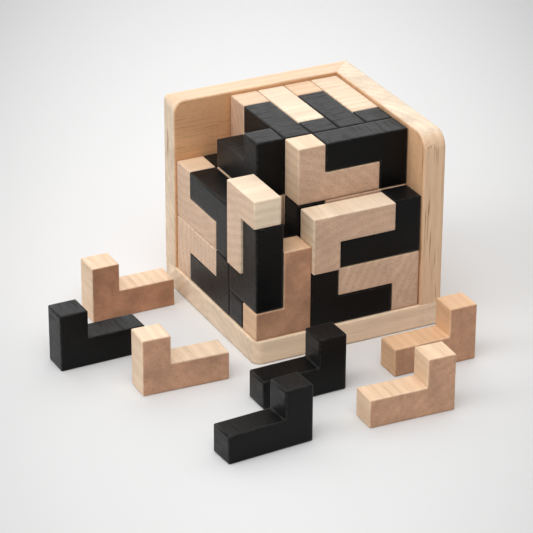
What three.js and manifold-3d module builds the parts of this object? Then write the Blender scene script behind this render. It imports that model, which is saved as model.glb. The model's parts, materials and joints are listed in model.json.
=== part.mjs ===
// Packing cube in a corner tray.
//
// Fifty-four L-shaped wooden pieces, half natural and half black, fill a block of 6 x 6 x 6
// cells. Three boards, a base and two walls, hold the block in one corner. Forty-seven pieces
// are in the tray here, and seven stand beside it on the table.
//
// Millimetres, +Z up. The origin is the centre of the base board's underside. +X runs to the
// right along the open front, and +Y runs back along the open left side.

import * as THREE from "three";
import { mergeVertices } from "three/addons/utils/BufferGeometryUtils.js";
import Module from "manifold-3d";

// ---- Driving dimensions ----------------------------------------------------------------

const PITCH = 15; // one cell of the block
const PLAY = 0.3; // gap between two pieces that lie side by side
const CELLS = 6; // cells along each edge of the block

const BASE_THICKNESS = 12.5;
const WALL_THICKNESS = 12;
const WALL_CLEARANCE = 0.3; // from the block to the inner face of a wall
const GLUE_LINE = 0.1; // between two boards that are glued together
const LIP = 1; // boards past the open sides of the block
const RIM = 1.5; // walls above the top of the block

const FRONT_CORNER_RADIUS = 5; // the base board's free corner, seen from above
const REAR_INNER_CORNER_RADIUS = 6.5; // the rear wall's free top corner, at its inner face
const REAR_OUTER_CORNER_RADIUS = 2.5; // the same corner at the outer face, which is sanded less
const RIGHT_CORNER_RADIUS = 8.5; // the right wall's free top corner
const UPRIGHT_EDGE_RADIUS = 1.5; // the other upright edges of the base board

const ROUND_STEPS = 10; // straight steps in each rounded corner

// ---- Sizes that follow -----------------------------------------------------------------

const BLOCK = CELLS * PITCH;
const INNER = BLOCK + WALL_CLEARANCE; // inner faces of the walls
const OUTER = INNER + WALL_THICKNESS; // outer faces of the walls
const CENTRE = (OUTER - LIP) / 2; // middle of the base board, along X and along Y
const WALL_FOOT = BASE_THICKNESS + GLUE_LINE;
const WALL_TOP = BASE_THICKNESS + BLOCK + RIM;
const BAR = PITCH - PLAY; // width and thickness of a piece

// ---- Colours ---------------------------------------------------------------------------

const NATURAL_WOOD = { color: 0xe3bd97, roughness: 0.55, metalness: 0 };
const BLACK_WOOD = { color: 0x1d1d1e, roughness: 0.4, metalness: 0 };
const TRAY_WOOD = { color: 0xdcb48a, roughness: 0.5, metalness: 0 };

// ---- How the pieces lie in the block ---------------------------------------------------
//
// Every piece lies flat in one upright slab, one cell thick. A slab is a letter map: each line
// is a layer, top layer first, and four equal letters are one piece. A capital is a black
// piece, a small letter a natural one, and a dot is an empty cell or one that another slab
// fills. "across" is the axis that the slab is thin along, "index" its place on that axis, and
// "from" the cell that the lines start at. "pushed" moves a piece along the thin axis, in
// millimetres, as a hand leaves it.

const SLABS = [
  {
    name: "front",
    across: "y",
    index: 0,
    from: 0,
    layers: ["......", "......", "..eeeF", ".aeFFF", ".aBccc", "aaBBBc"],
    pushed: { e: -2 },
  },
  {
    name: "left",
    across: "x",
    index: 0,
    from: 0,
    layers: ["......", "gg....", "DgJJJi", "DgJiii", "DDKhhh", "..KKKh"],
    pushed: { g: -1.3 },
  },
  {
    name: "second",
    across: "y",
    index: 1,
    from: 0,
    layers: ["..pQQQ", "..pppQ", "..Sttt", ".LStUU", ".LSSvU", "LLvvvU"],
  },
  {
    name: "stack1",
    across: "x",
    index: 1,
    from: 2,
    layers: ["N...", "NNN.", "eeeF", "eFFF", "Bccc", "BBBc"],
  },
  {
    name: "stack2",
    across: "x",
    index: 2,
    from: 2,
    layers: ["AAAr", "Arrr", "sTTT", "sTuu", "ssVu", "VVVu"],
  },
  {
    name: "stack3",
    across: "x",
    index: 3,
    from: 2,
    layers: ["Cbbb", "CCCb", "gHHH", "gggH", "JJJk", "Jkkk"],
  },
  {
    name: "stack4",
    across: "x",
    index: 4,
    from: 2,
    layers: ["DDDh", "Dhhh", "mmmN", "PPmN", "PqNN", "Pqqq"],
  },
  {
    name: "stack5",
    across: "x",
    index: 5,
    from: 2,
    layers: ["Gfff", "GGGf", "wwwX", "wXXX", "Zyyy", "ZZZy"],
  },
];

// The pieces beside the tray stand on their long side. "at" is the near left corner of the
// foot print, in cells from the block's near left corner, "turn" is in degrees, and "tall" is
// the end that carries the foot.

const LOOSE = [
  { name: "loose_back_left", wood: "natural", at: [-3.56, 5.02], turn: 0, tall: "left" },
  { name: "loose_far_left", wood: "black", at: [-5.83, 2.34], turn: 1, tall: "left" },
  { name: "loose_left", wood: "natural", at: [-4.16, -0.32], turn: -2.8, tall: "left" },
  { name: "loose_middle", wood: "black", at: [-1.11, -2.76], turn: 1.4, tall: "right" },
  { name: "loose_front_left", wood: "black", at: [-3.57, -5.35], turn: 3.8, tall: "right" },
  { name: "loose_right", wood: "natural", at: [3.63, -2.7], turn: -0.4, tall: "right" },
  { name: "loose_front_right", wood: "natural", at: [1.32, -5.28], turn: -2.1, tall: "right" },
];

// ---- Solids ----------------------------------------------------------------------------

const wasm = await Module();
wasm.setup();

/** A manifold solid of a closed three.js geometry. */
function toSolid(geometry) {
  const bare = geometry.clone();
  bare.deleteAttribute("normal");
  bare.deleteAttribute("uv");
  const merged = mergeVertices(bare, 1e-4);
  return new wasm.Manifold(
    new wasm.Mesh({
      numProp: 3,
      vertProperties: new Float32Array(merged.attributes.position.array),
      triVerts: new Uint32Array(merged.index.array),
    }),
  );
}

/** The three.js geometry of a manifold solid. */
function toGeometry(solid) {
  const mesh = solid.getMesh();
  const geometry = new THREE.BufferGeometry();
  geometry.setAttribute("position", new THREE.BufferAttribute(mesh.vertProperties, 3));
  geometry.setIndex(new THREE.BufferAttribute(mesh.triVerts, 1));
  geometry.computeVertexNormals();
  return geometry;
}

/** A prism of a flat outline, from z = 0 up to the given height. */
function prism(outline, height) {
  return new THREE.ExtrudeGeometry(outline, {
    depth: height,
    bevelEnabled: false,
    curveSegments: ROUND_STEPS,
  });
}

/** A rectangle whose four corners are rounded, each by its own radius, anticlockwise. */
function roundedRectangle(x0, y0, x1, y1, [nearLeft, nearRight, farRight, farLeft]) {
  const outline = new THREE.Shape();
  outline.moveTo(x0 + nearLeft, y0);
  outline.lineTo(x1 - nearRight, y0);
  if (nearRight) outline.absarc(x1 - nearRight, y0 + nearRight, nearRight, -Math.PI / 2, 0);
  outline.lineTo(x1, y1 - farRight);
  if (farRight) outline.absarc(x1 - farRight, y1 - farRight, farRight, 0, Math.PI / 2);
  outline.lineTo(x0 + farLeft, y1);
  if (farLeft) outline.absarc(x0 + farLeft, y1 - farLeft, farLeft, Math.PI / 2, Math.PI);
  outline.lineTo(x0, y0 + nearLeft);
  if (nearLeft) outline.absarc(x0 + nearLeft, y0 + nearLeft, nearLeft, Math.PI, 1.5 * Math.PI);
  return outline;
}

// ---- Tray ------------------------------------------------------------------------------

/** The base board: everything else stands on it. */
function baseBoard() {
  const small = UPRIGHT_EDGE_RADIUS;
  const outline = roundedRectangle(-LIP, -LIP, OUTER, OUTER, [FRONT_CORNER_RADIUS, small, small, small]);
  return prism(outline, BASE_THICKNESS);
}

/**
 * A wall that runs along +X, with its free end at the left and a mitre at the right. Its free
 * top corner has one radius at the inner face and one at the outer face.
 */
function wallSolid(innerRadius, outerRadius) {
  const face = (y, radius) =>
    roundedRectangle(-LIP, WALL_FOOT, OUTER, WALL_TOP, [0, 0, 0, radius])
      .getPoints(ROUND_STEPS)
      .map((point) => [point.x, y, point.y]);
  const board = wasm.Manifold.hull([...face(INNER, innerRadius), ...face(OUTER, outerRadius)]);
  const mitre = new THREE.Shape([
    new THREE.Vector2(-2 * LIP, INNER - LIP),
    new THREE.Vector2(INNER - LIP - GLUE_LINE, INNER - LIP),
    new THREE.Vector2(OUTER + LIP - GLUE_LINE, OUTER + LIP),
    new THREE.Vector2(-2 * LIP, OUTER + LIP),
  ]);
  return board.intersect(toSolid(prism(mitre, 2 * WALL_TOP)));
}

/** Turns a wall that runs along +X into one along +Y, as a mirror on the diagonal would. */
function mirroredWall(wall) {
  const acrossDiagonal = new THREE.Matrix4().set(0, 1, 0, 0, 1, 0, 0, 0, 0, 0, 1, 0, 0, 0, 0, 1);
  const mirrored = wall.clone().applyMatrix4(acrossDiagonal);
  mirrored.setIndex([...wall.index.array].reverse());
  mirrored.computeVertexNormals();
  return mirrored;
}

// ---- Pieces ----------------------------------------------------------------------------

/** An L of four cells: three along +X, and the foot on the first of them along +Y. */
function pieceGeometry() {
  const inset = PLAY / 2;
  const outline = new THREE.Shape([
    new THREE.Vector2(inset, inset),
    new THREE.Vector2(3 * PITCH - inset, inset),
    new THREE.Vector2(3 * PITCH - inset, PITCH - inset),
    new THREE.Vector2(PITCH - inset, PITCH - inset),
    new THREE.Vector2(PITCH - inset, 2 * PITCH - inset),
    new THREE.Vector2(inset, 2 * PITCH - inset),
  ]);
  return prism(outline, BAR);
}

const PIECE = pieceGeometry();

function pieceMesh(name, wood) {
  const finish = wood === "black" ? BLACK_WOOD : NATURAL_WOOD;
  const mesh = new THREE.Mesh(PIECE.clone(), new THREE.MeshStandardMaterial(finish));
  mesh.name = `${name}_${wood}`;
  return mesh;
}

/** Where one letter's L lies in its slab: its bent cell, and the ways to its row and foot. */
function readPiece(layers, letter) {
  const cells = [];
  layers.forEach((line, layer) => {
    [...line].forEach((mark, column) => {
      if (mark === letter) cells.push(new THREE.Vector2(column, layers.length - 1 - layer));
    });
  });
  const next = (cell) => cells.filter((other) => cell.distanceTo(other) === 1);
  const bend = cells.find((cell) => {
    const [one, two] = next(cell);
    return two && one.distanceTo(two) < 2;
  });
  const [one, two] = next(bend);
  const [row, foot] = next(one).length === 2 ? [one, two] : [two, one];
  return { bend, along: row.clone().sub(bend), up: foot.clone().sub(bend) };
}

/** Places an L so that its row runs along one unit vector and its foot along another. */
function place(mesh, bendCorner, along, up) {
  const through = new THREE.Vector3().crossVectors(along, up);
  mesh.setRotationFromMatrix(new THREE.Matrix4().makeBasis(along, up, through));
  mesh.position.copy(bendCorner);
}

/** All the pieces of one slab. */
function slabPieces({ name, across, index, from, layers, pushed = {} }) {
  const column = across === "x" ? new THREE.Vector3(0, 1, 0) : new THREE.Vector3(1, 0, 0);
  const layer = new THREE.Vector3(0, 0, 1);
  const thin = across === "x" ? new THREE.Vector3(1, 0, 0) : new THREE.Vector3(0, 1, 0);
  const inSlab = (flat) => column.clone().multiplyScalar(flat.x).addScaledVector(layer, flat.y);
  const letters = [...new Set(layers.join(""))].filter((mark) => mark !== ".");
  return letters.map((letter) => {
    const { bend, along, up } = readPiece(layers, letter);
    const wood = letter === letter.toUpperCase() ? "black" : "natural";
    const mesh = pieceMesh(`${name}_${letter.toLowerCase()}`, wood);
    const cellMiddle = bend.clone().add(new THREE.Vector2(from + 0.5, 0.5));
    const corner = inSlab(cellMiddle.addScaledVector(along, -0.5).addScaledVector(up, -0.5));
    const rowWay = inSlab(along);
    const footWay = inSlab(up);
    const facesAlongThin = new THREE.Vector3().crossVectors(rowWay, footWay).dot(thin) > 0;
    const start = facesAlongThin ? index * PITCH + PLAY / 2 : (index + 1) * PITCH - PLAY / 2;
    corner.multiplyScalar(PITCH).addScaledVector(thin, start + (pushed[letter] ?? 0));
    place(mesh, corner, rowWay, footWay);
    return mesh;
  });
}

/** One piece that stands on the table, in a group turned about its near left corner. */
function loosePiece({ name, wood, at, turn, tall }) {
  const spot = new THREE.Group();
  spot.position.set(at[0] * PITCH, at[1] * PITCH, -PLAY / 2);
  spot.rotation.z = THREE.MathUtils.degToRad(turn);
  const mesh = pieceMesh(name, wood);
  const up = new THREE.Vector3(0, 0, 1);
  if (tall === "left") {
    place(mesh, new THREE.Vector3(0, BAR, 0), new THREE.Vector3(1, 0, 0), up);
  } else {
    place(mesh, new THREE.Vector3(3 * PITCH, 0, 0), new THREE.Vector3(-1, 0, 0), up);
  }
  spot.add(mesh);
  return spot;
}

// ---- Assembly --------------------------------------------------------------------------

function board(name, geometry) {
  const mesh = new THREE.Mesh(geometry, new THREE.MeshStandardMaterial(TRAY_WOOD));
  mesh.name = name;
  return mesh;
}

const puzzle = new THREE.Group();
puzzle.position.set(-CENTRE, -CENTRE, 0);

const rearWall = toGeometry(wallSolid(REAR_INNER_CORNER_RADIUS, REAR_OUTER_CORNER_RADIUS));
const rightWall = mirroredWall(toGeometry(wallSolid(RIGHT_CORNER_RADIUS, RIGHT_CORNER_RADIUS)));
puzzle.add(board("tray_base", baseBoard()));
puzzle.add(board("tray_rear_wall", rearWall));
puzzle.add(board("tray_right_wall", rightWall));

const block = new THREE.Group();
block.position.z = BASE_THICKNESS;
SLABS.forEach((slab) => block.add(...slabPieces(slab)));
puzzle.add(block);

LOOSE.forEach((piece) => puzzle.add(loosePiece(piece)));

export default puzzle;
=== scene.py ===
"""Looks of the packing cube: wooden L pieces, natural and black, in a tray of three boards.

Every piece is cut from its place in the frame, gets rounded and slightly worn edges, and
carries its own wood place, so that end grain shows on its L faces and long grain on its sides.
"""

import json
import math
import random

import bmesh
import bpy
from mathutils import Matrix, Vector


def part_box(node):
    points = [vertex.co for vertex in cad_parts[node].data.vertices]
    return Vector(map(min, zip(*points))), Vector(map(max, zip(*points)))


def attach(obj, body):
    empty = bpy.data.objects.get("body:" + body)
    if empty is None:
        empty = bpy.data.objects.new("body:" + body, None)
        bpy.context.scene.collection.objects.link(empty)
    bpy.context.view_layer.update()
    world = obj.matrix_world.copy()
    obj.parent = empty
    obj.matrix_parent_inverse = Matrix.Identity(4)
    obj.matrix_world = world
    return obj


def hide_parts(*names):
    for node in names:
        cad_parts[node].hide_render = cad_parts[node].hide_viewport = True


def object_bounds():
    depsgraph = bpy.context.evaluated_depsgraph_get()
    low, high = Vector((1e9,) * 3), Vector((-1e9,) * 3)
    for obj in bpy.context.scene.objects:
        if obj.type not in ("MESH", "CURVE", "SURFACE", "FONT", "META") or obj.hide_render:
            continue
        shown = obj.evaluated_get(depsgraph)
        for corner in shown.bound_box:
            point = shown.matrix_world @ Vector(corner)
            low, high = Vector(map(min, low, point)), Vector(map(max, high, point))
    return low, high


bl_info = {
    "name": "Packing Cube",
    "version": (1, 0, 0),
    "blender": (4, 5, 0),
    "location": "View3D > Sidebar > Packing Cube",
    "description": "Builds the wooden pieces, the tray and the stage of a packing cube",
    "category": "Object",
}

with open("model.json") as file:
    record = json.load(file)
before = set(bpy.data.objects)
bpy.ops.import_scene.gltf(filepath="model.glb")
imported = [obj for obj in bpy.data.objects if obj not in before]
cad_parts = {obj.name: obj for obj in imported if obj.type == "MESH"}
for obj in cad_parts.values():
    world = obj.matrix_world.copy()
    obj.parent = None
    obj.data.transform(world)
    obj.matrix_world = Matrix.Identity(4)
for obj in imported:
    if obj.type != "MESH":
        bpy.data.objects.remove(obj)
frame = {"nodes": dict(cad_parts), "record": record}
CAD_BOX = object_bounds()

MM = 0.001

WELD_DISTANCE = 0.01 * MM
SHORTEST_EDGE = 0.001 * MM
FLAT_ANGLE = math.radians(1)  # faces that meet at less are one face
SHARP_ANGLE = math.radians(30)  # edges that turn by more get rounded
CREASE_ANGLE = math.radians(50)  # edges that still turn by more are shaded sharp
SAME_WAY = 0.99  # cosine above which two directions count as one
HALF_GLUE_LINE = 0.05 * MM
JUST_UNDER = 0.1 * MM
BROAD_FACE = 3  # only faces broader than this many rim widths get an inner outline

RING_BROWN = (0.45, 0.24, 0.13)
STREAK_BROWN = (0.34, 0.17, 0.07)
PORE_BROWN = (0.25, 0.13, 0.07)
RIM_BROWN = (0.30, 0.18, 0.11)
FLAW_BROWN = (0.33, 0.16, 0.09)

FLOOR_HALF_WIDTH = 3  # metres
FLOOR_DROP = 0.05 * MM
DARKEST_VIGNETTE_FALLS = 4  # the painted vignette shade darkens the paper by this many falls at most
WALL_ELEVATION = math.radians(20)
WALL_EDGE, WALL_CORE = 0.3, 0.95  # cosines where the bright wall starts and where it is full
SENSOR_WIDTH = 36  # millimetres
CLIP_END = 20  # metres

# Name, power setting, azimuth, elevation, distance from the aim, and diameter of each light.
LIGHTS = (
    ("key_light", "key_watts", math.radians(175), math.radians(36), 3.0, 1.5),
    ("top_light", "top_watts", math.radians(228), math.radians(62), 1.7, 2.1),
)

# The tone of a natural piece's long grain, then that of its end grain, from 0, pale cream, to 1,
# full tan. Pieces that are not named here get a random tone.
PIECE_TONES = {
    "left_g": (0.0, 0.0),
    "left_h": (0.1, 0.0),
    "left_i": (0.3, 0.1),
    "front_a": (0.55, 0.9),
    "front_c": (0.4, 0.25),
    "front_e": (0.0, 0.3),
    "second_p": (0.25, 0.35),
    "second_t": (0.4, 0.4),
    "second_v": (0.5, 0.5),
    "stack1_e": (0.3, 0.3),
    "stack2_r": (0.35, 0.35),
    "stack3_b": (0.05, 0.2),
    "stack4_h": (0.5, 0.4),
    "stack5_f": (0.2, 0.3),
    "loose_back_left": (0.3, 1.0),
    "loose_left": (0.2, 0.8),
    "loose_right": (0.7, 0.85),
    "loose_front_right": (0.4, 0.75),
}


# ---- Settings ----------------------------------------------------------------------------


def colour(name, description, default):
    return bpy.props.FloatVectorProperty(
        name=name, description=description, default=default, size=3, min=0, max=1, subtype="COLOR"
    )


def length(name, description, default):
    return bpy.props.FloatProperty(
        name=name,
        description=description,
        default=default,
        min=0,
        unit="LENGTH",
        subtype="DISTANCE",
    )


def angle(name, description, degrees):
    return bpy.props.FloatProperty(
        name=name, description=description, default=math.radians(degrees), subtype="ANGLE"
    )


def point(name, description, default):
    return bpy.props.FloatVectorProperty(
        name=name, description=description, default=default, size=3, subtype="XYZ"
    )


def amount(name, description, default):
    return bpy.props.FloatProperty(name=name, description=description, default=default, min=0)


def power(name, description, default):
    return bpy.props.FloatProperty(
        name=name, description=description, default=default, min=0, unit="POWER"
    )


def whole(name, description, default):
    return bpy.props.IntProperty(
        name=name, description=description, default=default, min=1, max=6
    )


def share(name, description, default):
    return bpy.props.FloatProperty(
        name=name, description=description, default=default, min=0, max=1, subtype="FACTOR"
    )


class PieceSettings(bpy.types.PropertyGroup):
    """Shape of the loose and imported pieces."""

    edge_radius: length("Edge radius", "Rounding of a sanded piece's edges", 0.65 * MM)
    rim_width: length("Rim width", "Width along the edges that handling has worn", 0.9 * MM)
    edge_segments: whole("Edge segments", "Steps across each rounded edge", 3)


class TraySettings(bpy.types.PropertyGroup):
    """Shape of the tray's boards."""

    edge_radius: length("Edge radius", "Rounding of the boards' edges", 1.0 * MM)
    rim_width: length("Rim width", "Width along the edges that handling has worn", 1.5 * MM)
    edge_segments: whole("Edge segments", "Steps across each rounded edge", 4)


class WoodSettings(bpy.types.PropertyGroup):
    """Finish of the natural wood."""

    cream: colour("Cream", "Palest wood", (0.90, 0.75, 0.58))
    tan: colour("Tan", "Reddest wood", (0.72, 0.41, 0.21))
    end_cream: colour("End grain, pale", "End grain of the palest wood", (0.80, 0.61, 0.47))
    end_tan: colour("End grain, tan", "End grain of the reddest wood", (0.50, 0.27, 0.165))
    board_end: colour("Board ends", "End grain of the tray's boards", (0.82, 0.68, 0.53))
    ring_width: length("Ring width", "Distance between growth rings", 4.5 * MM)
    pore_size: length("Pore size", "Width of one pore", 0.35 * MM)
    roughness: share("Roughness", "Roughness of the sanded wood", 0.52)


class BlackSettings(bpy.types.PropertyGroup):
    """Finish of the stained wood."""

    stain: colour("Stain", "Colour of the stain", (0.0012, 0.0012, 0.0013))
    worn: colour("Worn edge", "Colour where the stain has rubbed thin", (0.03, 0.028, 0.026))
    roughness: share("Roughness", "Roughness of the waxed stain", 0.33)


class StageSettings(bpy.types.PropertyGroup):
    """Camera, light and floor."""

    camera_azimuth: angle("Camera azimuth", "Way to the camera, seen from above", 243.3)
    camera_elevation: angle("Camera elevation", "Height of the camera above the horizon", 26.46)
    camera_roll: angle("Camera roll", "Tilt about the view axis", 0.26)
    camera_distance: length("Camera distance", "From the camera to the point it looks at", 1.387)
    camera_aim: point("Camera aim", "Point that the camera looks at", (-0.025, -0.0107, 0.030))
    lens: bpy.props.FloatProperty(
        name="Lens",
        description="Focal length on a 36 mm sensor",
        default=188.8,
        min=1,
        unit="CAMERA",
    )
    # The paper's fall from its palest point is a painted vignette: shade painted into the floor's
    # colour.
    floor_colour: colour("Floor colour", "Palest part of the graded paper", (0.79, 0.79, 0.79))
    vignette_middle: point("Floor middle", "Palest point of the paper", (0.068, 0.174, 0))
    vignette_width: length("Floor width", "Sideways reach of one fall in the paper's tone", 0.125)
    vignette_depth: length("Floor depth", "Reach of one fall to the front and back", 0.363)
    vignette_shade_fall: share("Floor fall", "How much the paper darkens over one reach", 0.128)
    sky: amount("Room light", "Light that comes from all around", 0.36)
    glow: amount("Wall light", "Light from the bright wall behind the object", 0.86)
    key_watts: power("Key light", "Power of the soft light at the left", 12.0)
    top_watts: power("Top light", "Power of the large light overhead", 19.5)


# ---- Node trees --------------------------------------------------------------------------


def maths(tree, operation, first, second=None, third=None, clamp=False):
    """A Math node's output. Each operand is a number or another node's output."""
    made = tree.nodes.new("ShaderNodeMath")
    made.operation = operation
    made.use_clamp = clamp
    for socket, value in zip(made.inputs, (first, second, third)):
        if isinstance(value, bpy.types.NodeSocket):
            tree.links.new(value, socket)
        elif value is not None:
            socket.default_value = value
    return made.outputs[0]


def smooth_step(tree, value, low, high):
    """0 below low, 1 above high, and a smooth rise between."""
    made = tree.nodes.new("ShaderNodeMapRange")
    made.interpolation_type = "SMOOTHSTEP"
    tree.links.new(value, made.inputs["Value"])
    for name, edge in (("From Min", low), ("From Max", high)):
        if isinstance(edge, bpy.types.NodeSocket):
            tree.links.new(edge, made.inputs[name])
        else:
            made.inputs[name].default_value = edge
    return made.outputs["Result"]


def mixed(tree, factor, first, second, blend="MIX"):
    """A colour mix. Factor and colours are values or another node's output."""
    made = tree.nodes.new("ShaderNodeMix")
    made.data_type = "RGBA"
    made.blend_type = blend
    sockets = [s for s in made.inputs if s.enabled]
    for socket, value in zip((sockets[0], sockets[1], sockets[2]), (factor, first, second)):
        if isinstance(value, bpy.types.NodeSocket):
            tree.links.new(value, socket)
        elif isinstance(value, (int, float)):
            socket.default_value = value
        else:
            socket.default_value = (*value, 1)
    return next(s for s in made.outputs if s.enabled)


def attribute(tree, name, output="Fac"):
    made = tree.nodes.new("ShaderNodeAttribute")
    made.attribute_type = "GEOMETRY"
    made.attribute_name = name
    return made.outputs[output]


def new_group(name, inputs, outputs):
    """A shader node group with named sockets, and its input and output nodes."""
    tree = bpy.data.node_groups.new(name, "ShaderNodeTree")
    for label, kind, default in inputs:
        socket = tree.interface.new_socket(label, in_out="INPUT", socket_type=kind)
        if default is not None:
            socket.default_value = default
    for label, kind in outputs:
        tree.interface.new_socket(label, in_out="OUTPUT", socket_type=kind)
    start = tree.nodes.new("NodeGroupInput")
    end = tree.nodes.new("NodeGroupOutput")
    return tree, start.outputs, end.inputs


def use_group(tree, group, **inputs):
    made = tree.nodes.new("ShaderNodeGroup")
    made.node_tree = group
    for key, value in inputs.items():
        socket = made.inputs[key.replace("_", " ")]
        if isinstance(value, bpy.types.NodeSocket):
            tree.links.new(value, socket)
        else:
            socket.default_value = value
    return made.outputs


def scaled(tree, vector, scale):
    made = tree.nodes.new("ShaderNodeVectorMath")
    made.operation = "MULTIPLY"
    tree.links.new(vector, made.inputs[0])
    made.inputs[1].default_value = scale
    return made.outputs[0]


def dot_product(tree, vector, way):
    made = tree.nodes.new("ShaderNodeVectorMath")
    made.operation = "DOT_PRODUCT"
    tree.links.new(vector, made.inputs[0])
    made.inputs[1].default_value = way
    return made.outputs["Value"]


def separate(tree, vector):
    made = tree.nodes.new("ShaderNodeSeparateXYZ")
    tree.links.new(vector, made.inputs[0])
    return made.outputs


def noise(tree, vector, scale, detail=2.0, roughness=0.5):
    made = tree.nodes.new("ShaderNodeTexNoise")
    tree.links.new(vector, made.inputs["Vector"])
    if isinstance(scale, bpy.types.NodeSocket):
        tree.links.new(scale, made.inputs["Scale"])
    else:
        made.inputs["Scale"].default_value = scale
    made.inputs["Detail"].default_value = detail
    made.inputs["Roughness"].default_value = roughness
    return made.outputs["Fac"]


def ring_pattern(tree, place, long_place, rings_per_metre):
    """Broad rings around the heart, with a sharper line of late wood here and there."""
    warp = maths(tree, "MULTIPLY", noise(tree, long_place, scale=60, detail=3), 6 * MM)
    x, y, _ = separate(tree, place)
    squares = maths(tree, "MULTIPLY_ADD", y, y, maths(tree, "MULTIPLY", x, x))
    from_heart = maths(tree, "ADD", maths(tree, "SQRT", squares), warp)
    years = maths(tree, "MULTIPLY", from_heart, rings_per_metre)
    wave = maths(tree, "SINE", maths(tree, "MULTIPLY", years, math.tau))
    broad = maths(tree, "MULTIPLY_ADD", wave, 0.3, 0.3)
    late_wood = maths(tree, "POWER", maths(tree, "FRACT", maths(tree, "MULTIPLY", years, 3.3)), 4.0)
    patches = smooth_step(tree, noise(tree, long_place, scale=70, detail=2), low=0.4, high=0.75)
    return maths(tree, "MULTIPLY_ADD", maths(tree, "MULTIPLY", late_wood, patches), 0.7, broad)


def pore_pattern(tree, place, pores_per_metre):
    """Fine dots and coarser flecks, drawn out along the grain."""
    pore_place = scaled(tree, place, (1, 1, 0.07))
    flecks_per_metre = maths(tree, "MULTIPLY", pores_per_metre, 0.4)
    fine = noise(tree, pore_place, pores_per_metre, detail=1)
    coarse = noise(tree, pore_place, flecks_per_metre, detail=2)
    dots = maths(tree, "MULTIPLY", smooth_step(tree, fine, low=0.52, high=0.72), 0.6)
    flecks = smooth_step(tree, coarse, low=0.5, high=0.78)
    return maths(tree, "ADD", dots, flecks, clamp=True)


def streak_pattern(tree, place, long_place):
    """Thin streaks that run with the grain, in patches."""
    streak_place = scaled(tree, place, (1, 1, 0.03))
    lines = noise(tree, streak_place, scale=1500, detail=1)
    streaks = smooth_step(tree, lines, low=0.56, high=0.68)
    patches = smooth_step(tree, noise(tree, long_place, scale=130, detail=1), low=0.4, high=0.6)
    return maths(tree, "MULTIPLY", streaks, patches)


def grain_group():
    """Solid wood: rings around a far heart, pores along the grain, and slow change of tone."""
    tree, start, end = new_group(
        "solid_wood_grain",
        [
            ("Place", "NodeSocketVector", None),
            ("Rings Per Metre", "NodeSocketFloat", 300.0),
            ("Pores Per Metre", "NodeSocketFloat", 2800.0),
        ],
        [
            ("Rings", "NodeSocketFloat"),
            ("Pores", "NodeSocketFloat"),
            ("Cloud", "NodeSocketFloat"),
            ("Streaks", "NodeSocketFloat"),
        ],
    )
    place = start["Place"]
    long_place = scaled(tree, place, (1, 1, 0.18))
    cloud = noise(tree, long_place, scale=90, detail=4, roughness=0.6)
    rings = ring_pattern(tree, place, long_place, start["Rings Per Metre"])
    tree.links.new(rings, end["Rings"])
    tree.links.new(pore_pattern(tree, place, start["Pores Per Metre"]), end["Pores"])
    tree.links.new(cloud, end["Cloud"])
    tree.links.new(streak_pattern(tree, place, long_place), end["Streaks"])
    return tree


def wear_group():
    """Where handling has rubbed a piece: 1 on its edges, broken up, and 0 on its flats."""
    tree, start, end = new_group(
        "edge_wear",
        [
            ("Rim", "NodeSocketFloat", 0.0),
            ("Place", "NodeSocketVector", None),
            ("Amount", "NodeSocketFloat", 0.5),
        ],
        [("Wear", "NodeSocketFloat")],
    )
    patch = noise(tree, start["Place"], scale=450, detail=4, roughness=0.65)
    raised = maths(tree, "MULTIPLY_ADD", patch, 0.9, start["Rim"])
    low = maths(tree, "SUBTRACT", 1.75, start["Amount"])
    high = maths(tree, "ADD", low, 0.45)
    tree.links.new(smooth_step(tree, raised, low, high), end["Wear"])
    return tree


def start_material(name):
    """An empty node material, its shader's inputs, and the tree."""
    material = bpy.data.materials.new(name)
    material.use_nodes = True
    tree = material.node_tree
    tree.nodes.clear()
    shader = tree.nodes.new("ShaderNodeBsdfPrincipled")
    result = tree.nodes.new("ShaderNodeOutputMaterial")
    tree.links.new(shader.outputs[0], result.inputs["Surface"])
    return material, tree, shader.inputs


def pore_bump(tree, inputs, pores, depth):
    """Sinks the pores into the surface."""
    bump = tree.nodes.new("ShaderNodeBump")
    bump.inputs["Strength"].default_value = 0.6
    bump.inputs["Distance"].default_value = depth
    tree.links.new(maths(tree, "MULTIPLY", pores, -1.0), bump.inputs["Height"])
    tree.links.new(bump.outputs["Normal"], inputs["Normal"])


def group_once(name, maker):
    return bpy.data.node_groups.get(name) or maker()


def wood_maps(tree, wear_amount, **densities):
    """The grain's outputs and the wear of a piece, from the attributes on its mesh."""
    place = attribute(tree, "grain_place", "Vector")
    grain_tree = group_once("solid_wood_grain", grain_group)
    grain = use_group(tree, grain_tree, Place=place, **densities)
    wear_tree = group_once("edge_wear", wear_group)
    rim = attribute(tree, "rim")
    wear = use_group(tree, wear_tree, Rim=rim, Place=place, Amount=wear_amount)["Wear"]
    return place, grain, wear


def bare_wood(tree, end_grain, cloud, end_colours):
    """The wood's own colour: each piece's tones, and a slow change that is strong on tan ends."""
    settings = bpy.context.scene.cube_wood
    side = mixed(tree, attribute(tree, "tone"), settings.cream, settings.tan)
    end_tone = attribute(tree, "end_tone")
    base = mixed(tree, end_grain, side, mixed(tree, end_tone, *end_colours))
    tan_end = maths(tree, "MULTIPLY", end_grain, end_tone)
    mottle = maths(tree, "MULTIPLY_ADD", tan_end, 0.9, 0.3)
    cloudy = maths(tree, "MULTIPLY_ADD", maths(tree, "SUBTRACT", cloud, 0.5), mottle, 1.0)
    return mixed(tree, 1.0, base, cloudy, "MULTIPLY")


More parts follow.
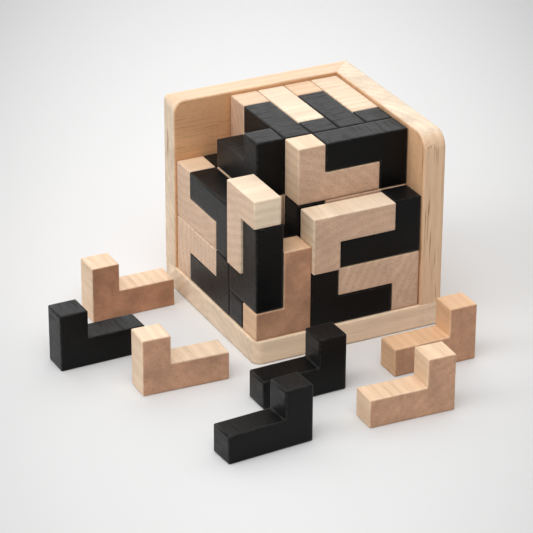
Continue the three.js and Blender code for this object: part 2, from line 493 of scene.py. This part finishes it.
def marked_wood(tree, base, end_grain, grain, ring_depth, pore_depth):
    """Draws the rings, the brown streaks of the long grain and the pores over a colour."""
    ring_patches = maths(tree, "ADD", grain["Cloud"], 0.5)
    ring_mark = maths(tree, "MULTIPLY", grain["Rings"], ring_depth)
    ring_mark = maths(tree, "MULTIPLY", ring_mark, ring_patches)
    base = mixed(tree, ring_mark, base, RING_BROWN)
    long_grain = maths(tree, "SUBTRACT", 1.0, smooth_step(tree, end_grain, low=0, high=0.06))
    streaky = maths(tree, "MULTIPLY", attribute(tree, "streaky"), long_grain)
    base = mixed(tree, maths(tree, "MULTIPLY", grain["Streaks"], streaky), base, STREAK_BROWN)
    end_pores = maths(tree, "MULTIPLY_ADD", end_grain, 0.6, 0.4)
    pores = maths(tree, "MULTIPLY", grain["Pores"], end_pores)
    return mixed(tree, maths(tree, "MULTIPLY", pores, pore_depth), base, PORE_BROWN)


def natural_wood(name, end_colours, ring_depth, pore_depth):
    """Pale hardwood whose tone, grain place and worn rims come from the piece."""
    settings = bpy.context.scene.cube_wood
    material, tree, inputs = start_material(name)
    densities = {
        "Rings_Per_Metre": 1 / settings.ring_width,
        "Pores_Per_Metre": 1 / settings.pore_size,
    }
    _, grain, wear = wood_maps(tree, wear_amount=0.35, **densities)
    end_grain = attribute(tree, "end_grain")
    base = bare_wood(tree, end_grain, grain["Cloud"], end_colours)
    base = marked_wood(tree, base, end_grain, grain, ring_depth, pore_depth)
    base = mixed(tree, maths(tree, "MULTIPLY", wear, 0.35), base, RIM_BROWN)
    tree.links.new(base, inputs["Base Color"])
    rough = maths(tree, "MULTIPLY_ADD", grain["Pores"], 0.2, settings.roughness)
    tree.links.new(maths(tree, "MULTIPLY_ADD", end_grain, 0.1, rough), inputs["Roughness"])
    inputs["IOR"].default_value = 1.45
    pore_bump(tree, inputs, grain["Pores"], 0.05 * MM)
    return material


def add_flaw(material):
    """Paints the thin brown flaw that runs up the free end of the rear wall."""
    tree = material.node_tree
    low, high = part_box("tray_rear_wall")
    middle_y, middle_z = low.y + 7.4 * MM, high.z - 25 * MM
    half_width, half_height = 0.9 * MM, 10 * MM
    coordinates = tree.nodes.new("ShaderNodeTexCoord").outputs["Object"]
    x, y, z = separate(tree, coordinates)
    waver = maths(tree, "MULTIPLY_ADD", noise(tree, coordinates, scale=120), 2 * MM, -1 * MM)
    across = maths(tree, "SUBTRACT", maths(tree, "ADD", y, waver), middle_y)
    across = maths(tree, "DIVIDE", across, half_width)
    upward = maths(tree, "DIVIDE", maths(tree, "SUBTRACT", z, middle_z), half_height)
    squares = maths(tree, "MULTIPLY_ADD", upward, upward, maths(tree, "MULTIPLY", across, across))
    spot = maths(tree, "SUBTRACT", 1.0, smooth_step(tree, squares, low=0.2, high=1.0))
    at_end = maths(tree, "LESS_THAN", x, low.x + 1 * MM)
    mark = maths(tree, "MULTIPLY", maths(tree, "MULTIPLY", spot, at_end), 0.6)
    inputs = next(n for n in tree.nodes if n.type == "BSDF_PRINCIPLED").inputs
    base = inputs["Base Color"].links[0].from_socket
    tree.links.new(mixed(tree, mark, base, FLAW_BROWN), inputs["Base Color"])


def black_wood():
    """Wood under a black stain, rubbed thin along the edges, with pores that still show."""
    settings = bpy.context.scene.cube_black
    material, tree, inputs = start_material("black_wood")
    place, grain, wear = wood_maps(tree, wear_amount=0.5)
    tree.links.new(mixed(tree, wear, settings.stain, settings.worn), inputs["Base Color"])
    scuffs = noise(tree, place, scale=260, detail=5, roughness=0.7)
    rough = maths(tree, "MULTIPLY_ADD", scuffs, 0.25, settings.roughness - 0.1)
    rough = maths(tree, "MULTIPLY_ADD", grain["Pores"], 0.3, rough)
    tree.links.new(maths(tree, "MULTIPLY_ADD", wear, 0.1, rough), inputs["Roughness"])
    inputs["IOR"].default_value = 1.37
    inputs["Sheen Weight"].default_value = 0.14
    inputs["Sheen Roughness"].default_value = 0.4
    pore_bump(tree, inputs, grain["Pores"], 0.06 * MM)
    return material


# ---- Shapes ------------------------------------------------------------------------------


def merged_copy(node):
    """A CAD node's solid with shared corners and no lines across its flat faces."""
    solid = bmesh.new()
    solid.from_mesh(frame["nodes"][node].data)
    for layer in list(solid.loops.layers.uv):
        solid.loops.layers.uv.remove(layer)
    bmesh.ops.remove_doubles(solid, verts=solid.verts, dist=WELD_DISTANCE)
    bmesh.ops.dissolve_limit(
        solid, angle_limit=FLAT_ANGLE, verts=solid.verts, edges=solid.edges
    )
    bmesh.ops.dissolve_degenerate(solid, edges=solid.edges, dist=SHORTEST_EDGE)
    return solid


def sharp_edges(solid):
    return [e for e in solid.edges if e.calc_face_angle(0) > SHARP_ANGLE]


def round_edges(solid, edges, radius, segments):
    """Rounds the edges, and returns the faces that stay flat."""
    made = bmesh.ops.bevel(
        solid,
        geom=edges,
        offset=radius,
        offset_type="OFFSET",
        affect="EDGES",
        segments=segments,
        profile=0.5,
        clamp_overlap=True,
        material=-1,
        harden_normals=False,
    )
    rounded = set(made["faces"])
    return [f for f in solid.faces if f not in rounded]


def mark_rims(solid, faces, width):
    """Gives every broad flat face an inner outline: rim is 1 outside it and 0 inside."""
    rim = solid.verts.layers.float.new("rim")
    shortest = BROAD_FACE * width
    flats = [f for f in faces if min(e.calc_length() for e in f.edges) > shortest]
    bmesh.ops.inset_region(
        solid, faces=flats, thickness=width, use_even_offset=True, use_boundary=True
    )
    inner = {v for f in flats for v in f.verts}
    for vert in solid.verts:
        vert[rim] = 0.0 if vert in inner else 1.0


def mark_grain(solid, name, along, tones, streaky, heart_way=None):
    """Writes each point's place in the tree: its Z runs with the grain, from the heart out.

    The heart lies in a random direction, or in heart_way where one is given.
    """
    chance = random.Random(name)
    place = solid.verts.layers.float_vector.new("grain_place")
    traits = {"end_tone": tones[1], "streaky": streaky}
    layers = {trait: solid.verts.layers.float.new(trait) for trait in traits}
    ends = solid.faces.layers.float.new("end_grain")
    tone = solid.faces.layers.float.new("tone")
    if heart_way:
        across = heart_way.normalized()
    else:
        turn = Matrix.Rotation(chance.uniform(0, math.tau), 3, along)
        across = (turn @ along.orthogonal()).normalized()
    basis = Matrix((across, along.cross(across), along))
    heart = Vector((chance.uniform(40, 90) * MM, 0, chance.uniform(-1, 1)))
    middle = sum((v.co for v in solid.verts), Vector()) / len(solid.verts)
    for vert in solid.verts:
        vert[place] = basis @ (vert.co - middle) + heart
        for trait, value in traits.items():
            vert[layers[trait]] = value
    for face in solid.faces:
        face[ends] = abs(face.normal.dot(along)) ** 4
        face[tone] = tones[0]


def finish_piece(solid, name, node, body, material):
    """Makes the object, shades it smooth, and lets it stand for its CAD node."""
    bmesh.ops.recalc_face_normals(solid, faces=solid.faces)
    for face in solid.faces:
        face.smooth = True
    for edge in solid.edges:
        edge.smooth = edge.calc_face_angle(0) < CREASE_ANGLE
    mesh = bpy.data.meshes.new(name)
    solid.to_mesh(mesh)
    solid.free()
    piece = bpy.data.objects.new(name, mesh)
    bpy.context.scene.collection.objects.link(piece)
    mesh.materials.append(material)
    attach(piece, body)
    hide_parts(node)


def l_face_normal(solid):
    """The way that a piece is thin along: the normal of its six-sided faces."""
    return max(solid.faces, key=lambda f: len(f.verts)).normal.copy()


def make_l_piece(body, node, material):
    settings = bpy.context.scene.cube_pieces
    chance = random.Random("edge " + body)
    solid = merged_copy(node)
    thin_way = l_face_normal(solid)
    radius = settings.edge_radius * chance.uniform(0.85, 1.2)
    flats = round_edges(solid, sharp_edges(solid), radius, settings.edge_segments)
    mark_rims(solid, flats, settings.rim_width)
    picked = chance.uniform(0.1, 0.7)
    tones = PIECE_TONES.get(body, (picked, picked))
    mark_grain(solid, body, thin_way, tones, streaky=chance.uniform(0, 0.35))
    finish_piece(solid, f"piece_{body}", node, body, material)


def cut_at_walls(solid):
    """Cuts the base board's faces along the walls' inner faces, so that its edges end there."""
    inner_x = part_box("tray_right_wall")[0].x
    inner_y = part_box("tray_rear_wall")[0].y
    for place, way in (((inner_x, 0, 0), (1, 0, 0)), ((0, inner_y, 0), (0, 1, 0))):
        everything = [*solid.verts, *solid.edges, *solid.faces]
        bmesh.ops.bisect_plane(solid, geom=everything, plane_co=place, plane_no=way)
    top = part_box("tray_base")[1].z

    def under_wall(edge):
        middle = (edge.verts[0].co + edge.verts[1].co) / 2
        return middle.z > top - JUST_UNDER and (middle.x > inner_x or middle.y > inner_y)

    return [e for e in sharp_edges(solid) if not under_wall(e)]


def free_edges(solid, glued_ways):
    """The sharp edges that touch no glued face."""

    def is_glued(face):
        return any(face.normal.dot(way.normalized()) > SAME_WAY for way in glued_ways)

    return [e for e in sharp_edges(solid) if not any(is_glued(f) for f in e.link_faces)]


def close_joints(solid, glued_ways):
    """Moves each glued face half the glue line out, so that the boards meet."""
    for way in (w.normalized() for w in glued_ways):
        glued = {v for f in solid.faces if f.normal.dot(way) > SAME_WAY for v in f.verts}
        bmesh.ops.translate(solid, verts=list(glued), vec=way * HALF_GLUE_LINE)


def pale_edges_partly_painted_light(solid, thin_way, tone):
    """Gives the narrow sides of a board, which show straighter grain, a tone of their own. Their
    paler tone is partly painted light: lit tops and ends against shaded broad faces.
    """
    layer = solid.faces.layers.float["tone"]
    for face in solid.faces:
        broad = abs(face.normal.dot(thin_way)) ** 2
        face[layer] = face[layer] * broad + tone * (1 - broad)


def make_board(node, ways, tones, streaky, glued_ways, material):
    """A board of the tray. The ways are those of its grain and its thickness."""
    settings = bpy.context.scene.cube_tray
    along, thin_way = ways
    # The broad faces' darker tone is partly painted shade, and the narrow sides' paler tone is
    # partly painted light.
    face_tone_and_shade, edge_tone_and_light = tones
    solid = merged_copy(node)
    edges = cut_at_walls(solid) if node == "tray_base" else free_edges(solid, glued_ways)
    close_joints(solid, glued_ways)
    flats = round_edges(solid, edges, settings.edge_radius, settings.edge_segments)
    mark_rims(solid, flats, settings.rim_width)
    mark_grain(solid, node, along, (face_tone_and_shade, edge_tone_and_light), streaky, thin_way)
    pale_edges_partly_painted_light(solid, thin_way, edge_tone_and_light)
    finish_piece(solid, f"{node}_board", node, "tray", material)


def pieces_of(wood):
    """(body, node) of every L piece of one wood."""
    bodies = frame["record"]["behaviour"]["bodies"]
    return [(body, nodes[0]) for body, nodes in bodies.items() if nodes[0].endswith("_" + wood)]


# ---- Operators ---------------------------------------------------------------------------


class CUBE_OT_tray(bpy.types.Operator):
    """Builds the base board and the two walls"""

    bl_idname = "cube.tray"
    bl_label = "Tray boards"

    def execute(self, context):
        wood = context.scene.cube_wood
        material = natural_wood(
            "tray_board_wood",
            (wood.board_end, wood.board_end),
            ring_depth=0.2,
            pore_depth=0.2,
        )
        add_flaw(material)
        right, back, up = Vector((1, 0, 0)), Vector((0, 1, 0)), Vector((0, 0, 1))
        # Tones are given for the broad faces, then for the narrow sides. Their difference is partly
        # real grain, partly painted light and shade.
        make_board("tray_base", (right, up), (0.2, 0.2), 0.15, [], material)
        make_board("tray_rear_wall", (right, back), (0.9, 0.4), 0.3, [-up, right - back], material)
        make_board("tray_right_wall", (up, right), (0.75, 0.5), 0.8, [-up, back - right], material)
        return {"FINISHED"}


class CUBE_OT_natural_pieces(bpy.types.Operator):
    """Builds the natural L pieces"""

    bl_idname = "cube.natural_pieces"
    bl_label = "Natural pieces"

    def execute(self, context):
        wood = context.scene.cube_wood
        material = natural_wood(
            "natural_wood",
            (wood.end_cream, wood.end_tan),
            ring_depth=0.26,
            pore_depth=0.32,
        )
        for body, node in pieces_of("natural"):
            make_l_piece(body, node, material)
        return {"FINISHED"}


class CUBE_OT_black_pieces(bpy.types.Operator):
    """Builds the black L pieces"""

    bl_idname = "cube.black_pieces"
    bl_label = "Black pieces"

    def execute(self, context):
        material = black_wood()
        for body, node in pieces_of("black"):
            make_l_piece(body, node, material)
        return {"FINISHED"}


def aimed(thing, target, roll=0.0):
    """Turns a camera or light so that it looks at a point."""
    way = (target - thing.location).normalized()
    turn = way.to_track_quat("-Z", "Y").to_matrix() @ Matrix.Rotation(roll, 3, "Z")
    thing.rotation_euler = turn.to_euler()


def soft_light(name, watts, size, place, target):
    light = bpy.data.lights.new(name, "AREA")
    light.energy = watts
    light.shape = "DISK"
    light.size = size
    made = bpy.data.objects.new(name, light)
    made.location = place
    bpy.context.scene.collection.objects.link(made)
    aimed(made, target)


def around(azimuth, elevation, distance):
    """A point in a direction from the origin, given by angles in radians."""
    level = math.cos(elevation) * distance
    height = math.sin(elevation) * distance
    return Vector((math.cos(azimuth) * level, math.sin(azimuth) * level, height))


class CUBE_OT_stage(bpy.types.Operator):
    """Builds the floor, the lights and the camera"""

    bl_idname = "cube.stage"
    bl_label = "Stage"

    def execute(self, context):
        settings = context.scene.cube_stage
        context.scene.view_settings.view_transform = "Standard"
        context.scene.view_settings.look = "Medium High Contrast"
        self.make_floor(settings)
        self.make_lights(settings)
        self.make_camera(settings)
        return {"FINISHED"}

    def make_floor(self, settings):
        sheet = bmesh.new()
        bmesh.ops.create_grid(sheet, x_segments=1, y_segments=1, size=FLOOR_HALF_WIDTH)
        bmesh.ops.translate(sheet, verts=sheet.verts, vec=(0, 0, CAD_BOX[0][2] - FLOOR_DROP))
        mesh = bpy.data.meshes.new("floor")
        sheet.to_mesh(mesh)
        sheet.free()
        floor = bpy.data.objects.new("floor", mesh)
        bpy.context.scene.collection.objects.link(floor)
        material, tree, inputs = start_material("paper_sweep")
        tree.links.new(self.paper_with_painted_vignette(tree, settings), inputs["Base Color"])
        inputs["Roughness"].default_value = 0.9
        inputs["Specular IOR Level"].default_value = 0.1
        mesh.materials.append(material)

    def paper_with_painted_vignette(self, tree, settings):
        """The paper's colour under a painted vignette: painted shade darkens it outwards from its
        palest point in an oval.
        """
        place = tree.nodes.new("ShaderNodeTexCoord").outputs["Object"]
        middle = Vector(settings.vignette_middle)
        squares = 0.0
        for turn, reach in ((0, settings.vignette_depth), (math.pi / 2, settings.vignette_width)):
            way = around(settings.camera_azimuth + turn, 0, 1) / reach
            apart = maths(tree, "SUBTRACT", dot_product(tree, place, way), middle.dot(way))
            squares = maths(tree, "MULTIPLY_ADD", apart, apart, squares)
        # Painted shade: the paper darkens with its distance from the palest point.
        shade = maths(tree, "MULTIPLY_ADD", squares, -settings.vignette_shade_fall, 1.0)
        shade = maths(tree, "MAXIMUM", shade, 1 - DARKEST_VIGNETTE_FALLS * settings.vignette_shade_fall)
        return mixed(tree, 1.0, settings.floor_colour, shade, "MULTIPLY")

    def make_lights(self, settings):
        self.make_room(settings)
        aim = Vector(settings.camera_aim)
        for name, power, azimuth, elevation, distance, diameter in LIGHTS:
            spot = aim + around(azimuth, elevation, distance)
            soft_light(name, getattr(settings, power), diameter, spot, aim)

    def make_room(self, settings):
        """A dim room with one bright wall behind the object."""
        world = bpy.data.worlds.new("room")
        world.use_nodes = True
        tree = world.node_tree
        tree.nodes.clear()
        way = tree.nodes.new("ShaderNodeTexCoord").outputs["Generated"]
        wall_way = around(settings.camera_azimuth - math.pi, WALL_ELEVATION, 1)
        near_wall = smooth_step(tree, dot_product(tree, way, wall_way), WALL_EDGE, WALL_CORE)
        background = tree.nodes.new("ShaderNodeBackground")
        background.inputs["Color"].default_value = (1, 1, 1, 1)
        light = maths(tree, "MULTIPLY_ADD", near_wall, settings.glow, settings.sky)
        tree.links.new(light, background.inputs["Strength"])
        result = tree.nodes.new("ShaderNodeOutputWorld")
        tree.links.new(background.outputs[0], result.inputs["Surface"])
        bpy.context.scene.world = world

    def make_camera(self, settings):
        view = bpy.data.cameras.new("camera")
        view.lens = settings.lens
        view.sensor_width = SENSOR_WIDTH
        view.clip_end = CLIP_END
        camera = bpy.data.objects.new("camera", view)
        aim = Vector(settings.camera_aim)
        camera.location = aim + around(
            settings.camera_azimuth, settings.camera_elevation, settings.camera_distance
        )
        aimed(camera, aim, settings.camera_roll)
        bpy.context.scene.collection.objects.link(camera)
        bpy.context.scene.camera = camera


# ---- Panel and registration --------------------------------------------------------------

OPERATORS = (CUBE_OT_tray, CUBE_OT_natural_pieces, CUBE_OT_black_pieces, CUBE_OT_stage)

SETTINGS = {
    "cube_pieces": PieceSettings,
    "cube_tray": TraySettings,
    "cube_wood": WoodSettings,
    "cube_black": BlackSettings,
    "cube_stage": StageSettings,
}


class CUBE_PT_panel(bpy.types.Panel):
    """Lists the steps and their settings"""

    bl_idname = "CUBE_PT_panel"
    bl_label = "Packing Cube"
    bl_space_type = "VIEW_3D"
    bl_region_type = "UI"
    bl_category = "Packing Cube"

    def draw(self, context):
        for operator in OPERATORS:
            self.layout.operator(operator.bl_idname)
        for name, kind in SETTINGS.items():
            box = self.layout.box()
            box.label(text=kind.__name__)
            for key in kind.__annotations__:
                box.prop(getattr(context.scene, name), key)


def register():
    for kind in (*SETTINGS.values(), *OPERATORS, CUBE_PT_panel):
        bpy.utils.register_class(kind)
    for name, kind in SETTINGS.items():
        setattr(bpy.types.Scene, name, bpy.props.PointerProperty(type=kind))


def unregister():
    for name in SETTINGS:
        delattr(bpy.types.Scene, name)
    for kind in reversed((*SETTINGS.values(), *OPERATORS, CUBE_PT_panel)):
        bpy.utils.unregister_class(kind)


def main():
    register()
    bpy.ops.cube.tray()
    bpy.ops.cube.natural_pieces()
    bpy.ops.cube.black_pieces()
    bpy.ops.cube.stage()


if __name__ == "__main__":
    main()
